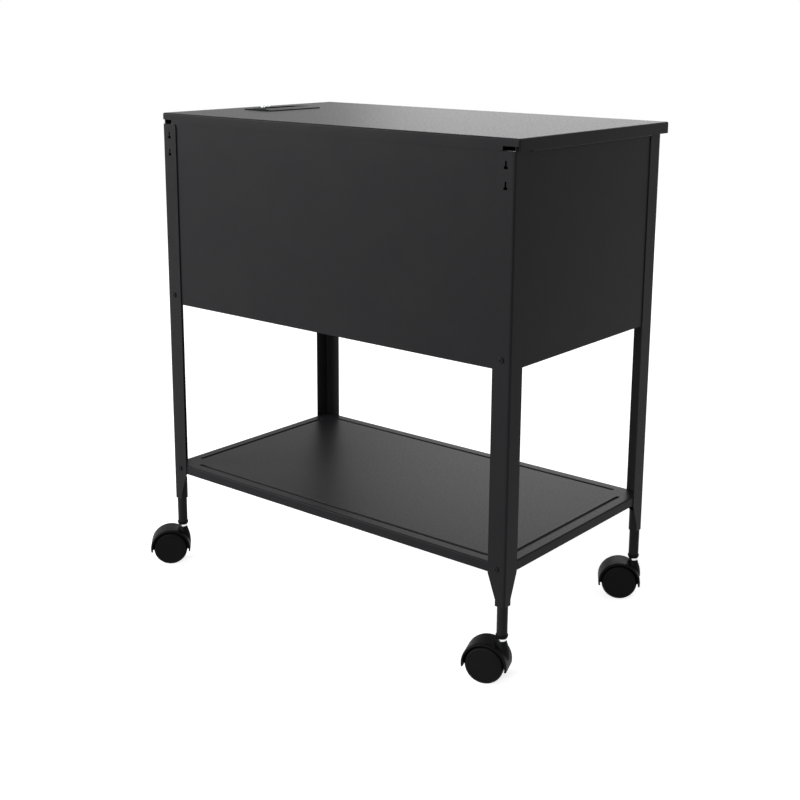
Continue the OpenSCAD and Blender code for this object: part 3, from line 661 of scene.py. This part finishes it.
# a flat sheet to start from, facing along one axis
def addSheet(name, low, high, axis):
    sheet = addBlock(name, low, high)
    dropFaces(sheet, lambda centre, normal: normal.dot(Vector(axis)) < 0.9)
    return sheet


# long panel: the field is set back, with a joggled tab behind each leg, a bottom flange and a hem at the top
def makeLongPanel():
    p = panel
    sheet = addSheet("longPanel", (-p["fieldHalf"], p["fieldY"], p["bottom"]),
                     (p["fieldHalf"], p["fieldY"] + 1, p["legTop"]), (0, -1, 0))
    for side in (-1, 1):
        pullEdges(sheet, at(x=side * p["fieldHalf"]), (0, p["tabY"] - p["fieldY"], 0),
                  (side * (p["tabX"] - p["fieldHalf"]), 0, 0))
    pullEdges(sheet, at(z=p["bottom"], y=p["fieldY"]), (0, p["flange"], 0))
    pullEdges(sheet, at(z=p["legTop"], y=p["fieldY"]), (0, 0, p["top"] - p["legTop"]),
              (0, 2 * p["sheet"], 0), (0, 0, -p["hem"]))
    # every bend gets its radius, the joggles a small one
    roundEdges(sheet, lambda a, b: near(abs(a.x), p["fieldHalf"]) and near(a.x, b.x) and near(a.y, b.y)
               and max(a.z, b.z) < p["legTop"] + 0.1, p["joggleBend"], 2)
    roundEdges(sheet, at(z=p["bottom"], y=p["fieldY"]), p["bend"], 3)
    roundEdges(sheet, lambda a, b: at(z=p["top"])(a, b) and not near(a.x, b.x), p["hemBend"], 3)
    thicken(sheet, p["hemSheet"], even=False)
    cutters = []
    front, back, half = p["tabY"] - 1, p["tabY"] + 2.4, leg["slotFoot"] / 2 + p["slotRoomX"]
    reach, screwZ = leg["slotHeight"] / 2 + p["slotRoomZ"], leg["screwHeights"][0]
    for side in (-1, 1):
        x = side * leg["slotX"]
        for z in leg["slotHeights"]:
            cutters.append(addBlock("slot", (x - half, front, z - reach), (x + half, back, z + reach)))
        cutters.append(addRound("hole", (x, front, screwZ), (x, back, screwZ), leg["screwHole"], 24))
    cutOut(sheet, cutters)
    return sheet


# end panel: flat, with a return flange at the bottom and the top
def makeEndPanel():
    p = panel
    neck, flange, side = p["neckHalf"], p["endFlangeHalf"], p["endX"]
    sheet = addSheet("endPanel", (side - 1, -p["endHalf"], p["bottom"]),
                     (side, p["endHalf"], p["legTop"]), (1, 0, 0))
    for y in (-neck, neck, -flange, flange):
        openEdit(sheet, picked="SELECT")
        bpy.ops.mesh.bisect(plane_co=(0, y * mm, 0), plane_no=(0, 1, 0))
    pullEdges(sheet, at(z=p["legTop"], withinY=neck), (0, 0, p["top"] - p["legTop"]))
    for z in (p["top"], p["bottom"]):
        pullEdges(sheet, at(z=z, withinY=flange), (-p["flange"], 0, 0))
    for z in (p["top"], p["bottom"]):
        roundEdges(sheet, at(x=side, z=z, withinY=flange), p["bend"], 3)
    thicken(sheet, p["sheet"])
    return sheet


def makePanels():
    front = makeLongPanel()
    rear = copyTo(front, "rearPanel", mirrorY)
    right = makeEndPanel()
    left = copyTo(right, "leftEndPanel", mirrorX)
    front.name = front.data.name = "frontPanel"
    right.name = right.data.name = "rightEndPanel"
    nodes = {"front_panel": front, "rear_panel": rear, "left_end_panel": left, "right_end_panel": right}
    for node, piece in nodes.items():
        finishPiece(piece, coatBlack, "cabinet", node, angle=30)


makePanels()
print("tub panels made")


shelf = {
    "halfLength": 300.8, "halfWidth": 169.8, "top": 157, "skirt": 13, "sheet": 1.2,
    "bend": 2.0, "cornerBend": 2.4,
    "grooveInset": 17, "grooveStop": 39, "grooveRadius": 3.25, "grooveSink": 2,
}


# a straight groove's round body between two points, with rounded ends
def addGrooveBody(start, end, radius):
    along = (Vector(end) - Vector(start)).normalized()
    first, last = Vector(start) - along * radius, Vector(end) + along * radius
    bar = addRound("groove", first, last, 2 * radius, 32)
    # an end's edges all lie square to the bar; with the bar's full radius the end would close
    roundEdges(bar, lambda a, b: near((a - first).dot(along), (b - first).dot(along)), radius * 0.96, 8)
    return bar


def grooveLines():
    s = shelf
    z = s["top"] - s["grooveSink"] + s["grooveRadius"]
    alongX, alongY = s["halfLength"] - s["grooveStop"], s["halfWidth"] - s["grooveStop"]
    for side in (-1, 1):
        y = side * (s["halfWidth"] - s["grooveInset"])
        yield (-alongX, y, z), (alongX, y, z)
        x = side * (s["halfLength"] - s["grooveInset"])
        yield (x, -alongY, z), (x, alongY, z)


# a pan with a turned-down skirt and four grooves pressed along its edges
def makeShelf():
    s = shelf
    length, width, top = s["halfLength"], s["halfWidth"], s["top"]
    pan = addBlock("shelfPan", (-length, -width, top - s["skirt"]), (length, width, top))
    dropFaces(pan, lambda centre, normal: normal.z < -0.9)
    roundEdges(pan, upright, s["cornerBend"], 2)
    roundEdges(pan, at(z=top), s["bend"], 4)
    thicken(pan, s["sheet"])
    for start, end in grooveLines():
        rib = addGrooveBody(start, end, s["grooveRadius"] + s["sheet"])
        # only the part below the pan's top is pressed metal
        cutOut(rib, [addBlock("above", (-length - 50, -width - 50, top - s["sheet"] / 2),
                              (length + 50, width + 50, top + 20))])
        cutOut(pan, [rib], "UNION")
    for start, end in grooveLines():
        cutOut(pan, [addGrooveBody(start, end, s["grooveRadius"])])
    z = leg["screwHeights"][1]
    for side in (-1, 1):
        x = side * leg["slotX"]
        cutOut(pan, [addRound("hole", (x, -width - 10, z), (x, width + 10, z), leg["screwHole"], 24)])
    finishPiece(pan, coatBlack, "cabinet", "shelf")


makeShelf()
print("shelf made")


screw = {
    "head": 7.4, "headHeight": 2.0, "headRound": 1.3, "shank": 4, "length": 6.2, "tipRound": 0.5,
    "recess": 4.0, "recessWidth": 0.95, "recessFrom": 0.8,  # the recess ends this far before the seat
}


# pan-head screw with a cross recess, at the front right
def makeScrew(height):
    s = screw
    x, y = leg["slotX"], leg["outY"]
    faceY, tipY = y - s["headHeight"], y + s["length"]
    head = addRound("screw", (x, y, height), (x, faceY, height), s["head"], 40)
    roundEdges(head, at(y=faceY), s["headRound"], 4)
    long, short, deep = s["recess"] / 2, s["recessWidth"] / 2, y - s["recessFrom"]
    for halfX, halfZ, back in ((long, short, deep), (short, long, deep - 0.1)):
        cutOut(head, [addBlock("cross", (x - halfX, faceY - 1, height - halfZ),
                               (x + halfX, back, height + halfZ))])
    shank = addRound("shank", (x, y - 0.2, height), (x, tipY, height), s["shank"], 24)
    roundEdges(shank, at(y=tipY), s["tipRound"], 2)
    return joinPieces([head, shank], "screw")


def makeScrews():
    groups = (("tub_screws", "tubScrews"), ("shelf_screws", "shelfScrews"))
    for (node, name), height in zip(groups, leg["screwHeights"]):
        first = makeScrew(height)
        group = [copyTo(first, "screw", matrix) for matrix in quarters.values()]
        discard(first)
        finishPiece(joinPieces(group, name), coatBlack, "cabinet", node)


makeScrews()
print("screws made")


caster = {
    "axisX": 295, "axisY": 164,
    "turns": {"front_left": 226, "front_right": 201, "rear_right": 212, "rear_left": 218},
    "trail": 19, "axleHeight": 25, "stemHole": 8.1, "stemLow": 34.5,
    "hoodIn": 27, "hoodOut": 29.6, "hoodHalf": 16.9, "hoodLow": 20, "arcSteps": 40,
    # the fender's round edge: how far in from its outer radius, and from its side
    "hoodEdge": [(1.5, 0), (0.9, 0.2), (0.35, 0.8), (0.1, 1.8), (0, 3.4)],
    "web": 11, "webOverlap": 0.6,
    # the shoulder round the stem: radius, height
    "shoulder": [(11, 32), (10.9, 36), (10.4, 41), (9.4, 45.5), (8.1, 49.5), (7.1, 52.5), (6.6, 54.6),
                 (6.1, 55.7), (5.4, 56)],
}
wheelSizes = {
    "radius": 25, "width": 10.5, "inside": 5.9, "treadRound": 4.5, "bore": 3.05,
    # the tread's inner edge: how far in from the radius, and from the wheel's inner side
    "innerEdge": [(1, 0), (0.3, 0.3), (0, 1)],
    # the cap's shallow ring: how far in from the tread's rounding, and from the wheel's outer side
    "capRing": [(0.7, 0.1), (1, 0.5), (1.5, 0.55), (1.9, 0.25), (2.5, 0.2)],
    "capSink": 0.2, "capInside": 3.5, "turnSteps": 72,
}


# turns an outline of (radius, across) round the axle and returns the closed ring or arc
def turnOutline(name, outline, start, sweep, steps):
    c = caster
    x, z = c["trail"], c["axleHeight"]
    face = addOutline(name, [(x + radius * math.cos(start), across, z + radius * math.sin(start))
                             for radius, across in outline])
    openEdit(face, picked="SELECT")
    bpy.ops.mesh.spin(steps=steps, angle=sweep, center=(x * mm, 0, z * mm), axis=(0, 1, 0))
    bpy.ops.mesh.select_all(action="SELECT")
    bpy.ops.mesh.remove_doubles(threshold=0.01 * mm)
    leaveEdit()
    return face


# the shoulder round the stem: a bar whose rings take their radius from its outline
def makeShoulder():
    outline = caster["shoulder"]
    bar = addRound("shoulder", (0, 0, outline[0][1]), (0, 0, outline[-1][1]), 2, 48)
    for _, height in outline[1:-1]:
        openEdit(bar, picked="SELECT")
        bpy.ops.mesh.bisect(plane_co=(0, 0, height * mm), plane_no=(0, 0, 1))
    leaveEdit()
    for vertex in bar.data.vertices:
        radius = next(r for r, height in outline if near(height, vertex.co.z / mm))
        vertex.co.x *= radius
        vertex.co.y *= radius
    bar.data.update()
    return bar


# hood: a fender over both wheels with rounded edges, the web between them and the shoulder round the stem
def makeHood():
    c = caster
    half, inner, outer, x, z = c["hoodHalf"], c["hoodIn"], c["hoodOut"], c["trail"], c["axleHeight"]
    dip = math.asin((z - c["hoodLow"]) / outer)
    side = [(outer - inward, half - across) for inward, across in c["hoodEdge"]]
    otherSide = [(radius, -across) for radius, across in side]
    outline = [(inner, -half), *otherSide, *reversed(side), (inner, half)]
    fender = turnOutline("hood", outline, -dip, math.pi + 2 * dip, c["arcSteps"])
    closeUp(fender)
    web = addRound("web", (x, -c["web"] / 2, z), (x, c["web"] / 2, z), 2 * (inner + c["webOverlap"]), 64)
    cutOut(web, [addBlock("below", (-40, -20, -20), (80, 20, c["hoodLow"]))])
    shoulder = makeShoulder()
    for way in (-1, 1):
        cutOut(shoulder, [addRound("wheelSpace", (x, way * c["web"] / 2, z), (x, way * half, z),
                                   2 * inner, 64)])
    cutOut(fender, [web], "UNION")
    cutOut(fender, [shoulder], "UNION")
    high = c["shoulder"][-1][1] + 2
    cutOut(fender, [addRound("stemHole", (0, 0, c["stemLow"]), (0, 0, high), c["stemHole"], 40)])
    return fender


# wheel on the +Y side: rounded tread, a closed cap with a shallow ring
def makeWheel():
    w = wheelSizes
    radius, inside, outside, edge = w["radius"], w["inside"], w["inside"] + w["width"], w["treadRound"]
    turns = [math.radians(angle) for angle in range(0, 91, 15)]
    rounded = [(radius - edge * (1 - math.cos(t)), outside - edge * (1 - math.sin(t))) for t in turns]
    innerEdge = [(radius - inward, inside + across) for inward, across in w["innerEdge"]]
    ring = [(radius - edge - inward, outside - across) for inward, across in w["capRing"]]
    capTop, capUnder, middle = outside - w["capSink"], outside - w["capInside"], 0.01
    outline = [(w["bore"], inside), *innerEdge, *rounded, *ring,
               (middle, capTop), (middle, capUnder), (w["bore"], capUnder)]
    wheel = turnOutline("wheel", outline, 0, 2 * math.pi, w["turnSteps"])
    openEdit(wheel, picked="SELECT")
    bpy.ops.mesh.remove_doubles(threshold=0.03 * mm)  # closes the cap's middle
    leaveEdit()
    # the outline's own face is inside the ring
    loose = bmesh.new()
    loose.from_mesh(wheel.data)
    bmesh.ops.delete(loose, geom=[f for f in loose.faces if len(f.verts) > 6], context="FACES")
    loose.to_mesh(wheel.data)
    loose.free()
    closeUp(wheel)
    return wheel


def makeCasters():
    c = caster
    hood, wheel = makeHood(), makeWheel()
    for corner, turn in c["turns"].items():
        side = 1 if corner.endswith("right") else -1
        front = -1 if corner.startswith("front") else 1
        place = (Matrix.Translation((side * c["axisX"] * mm, front * c["axisY"] * mm, 0))
                 @ Matrix.Rotation(math.radians(turn), 4, "Z"))
        parts = (
            (copyTo(hood, corner + "Hood", place), "_caster", "_hood"),
            (copyTo(wheel, corner + "InnerWheel", place), "_inner", "_inner_wheel"),
            (copyTo(wheel, corner + "OuterWheel", place @ mirrorY), "_outer", "_outer_wheel"),
        )
        for piece, body, node in parts:
            finishPiece(piece, nylonBlack, corner + body, corner + node, angle=40)
    discard(hood)
    discard(wheel)


makeCasters()
print("casters made")


# nodes that keep their CAD shape get their real finish
keptNodes = {
    "tub_floor": coatBlack, "body_hinge_leaf": coatBlack, "lid_hinge_leaf": coatBlack,
    "front_folder_rail": galvanised, "rear_folder_rail": galvanised,
    "rail_brackets": galvanised, "lock_strike": galvanised,
    "lid_bumpers": bumperRubber, "caster_sockets": socketBlack,
    "tub_nuts": brightZinc, "shelf_nuts": brightZinc, "hinge_pin": brightZinc,
    "lock_nut": brightZinc, "lock_cam": brightZinc,
    **{corner + part: brightZinc for corner in quarters for part in ("_stem", "_axle")},
}
for node, material in keptNodes.items():
    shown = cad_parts[node]
    shown.data.materials.clear()
    shown.data.materials.append(material)
print("kept nodes finished")


# places and sizes in metres, power in watts
studio = {
    "floor": "#e2e2e2", "floorSize": 14, "floorGlow": 0.74,
    "fill": 0.36, "aim": (0, 0, 0.35),
    "softPlace": (-2.4, -2.6, 1.5), "softSize": 1.8, "softWatts": 130,
    "keyPlace": (0.8, -3.2, 1.2), "keySize": 0.8, "keyWatts": 40,
    "rimPlace": (-1.35, 3.0, 1.5), "rimSize": 2.2, "rimWatts": 19,
}


# 1 for what the eye sees, also in a reflection or through glass
def seenRays(tree):
    ray = addNode(tree, "ShaderNodeLightPath")
    seen = addNode(tree, "ShaderNodeMath", {"operation": "ADD"},
                   {0: (ray, "Is Camera Ray"), 1: (ray, "Is Glossy Ray")})
    return addNode(tree, "ShaderNodeMath", {"operation": "ADD", "use_clamp": True},
                   {0: (seen, 0), 1: (ray, "Is Transmission Ray")})


# the world is white to the eye and in reflections, and a plain fill for everything else
def makeWorld():
    world = bpy.data.worlds.new("studio")
    bpy.context.scene.world = world
    world.use_nodes = True
    tree = world.node_tree
    tree.nodes.clear()
    seen = seenRays(tree)
    fill = addNode(tree, "ShaderNodeBackground", {"Color": (1, 1, 1, 1), "Strength": studio["fill"]})
    white = addNode(tree, "ShaderNodeBackground", {"Color": (1, 1, 1, 1), "Strength": 1.0})
    mixed = addNode(tree, "ShaderNodeMixShader", links={0: (seen, 0), 1: (fill, 0), 2: (white, 0)})
    addNode(tree, "ShaderNodeOutputWorld", links={0: (mixed, 0)})


# pale painted floor, lifted to white for the eye; it keeps the cabinet's shadow
def makeFloor():
    s = studio
    clearSelection()
    bpy.ops.mesh.primitive_plane_add(size=s["floorSize"])
    floor = settle("floor")
    material, tree, _ = startMaterial("paintedStudioFloor")
    paint = addNode(tree, "ShaderNodeBsdfDiffuse", {"Color": hexColour(s["floor"])})
    seen = seenRays(tree)
    glow = addNode(tree, "ShaderNodeMath", {"operation": "MULTIPLY", 1: s["floorGlow"]}, {0: (seen, 0)})
    lift = addNode(tree, "ShaderNodeEmission", {"Color": (1, 1, 1, 1)}, {"Strength": (glow, 0)})
    both = addNode(tree, "ShaderNodeAddShader", links={0: (paint, 0), 1: (lift, 0)})
    addNode(tree, "ShaderNodeOutputMaterial", links={0: (both, 0)})
    floor.data.materials.append(material)


# soft light from the left, a smaller one from the front and a wide, weak one from behind
def makeLamps():
    s = studio
    for name in ("soft", "key", "rim"):
        clearSelection()
        bpy.ops.object.light_add(type="AREA", location=s[name + "Place"])
        lamp = bpy.context.object
        lamp.name = name + "Lamp"
        lamp.data.shape = "DISK"
        lamp.data.size = s[name + "Size"]
        lamp.data.energy = s[name + "Watts"]
        lamp.rotation_euler = (Vector(s["aim"]) - lamp.location).to_track_quat("-Z", "Y").to_euler()


makeWorld()
makeFloor()
makeLamps()
bpy.context.scene.view_settings.view_transform = "Standard"
print("studio made")

clearSelection()
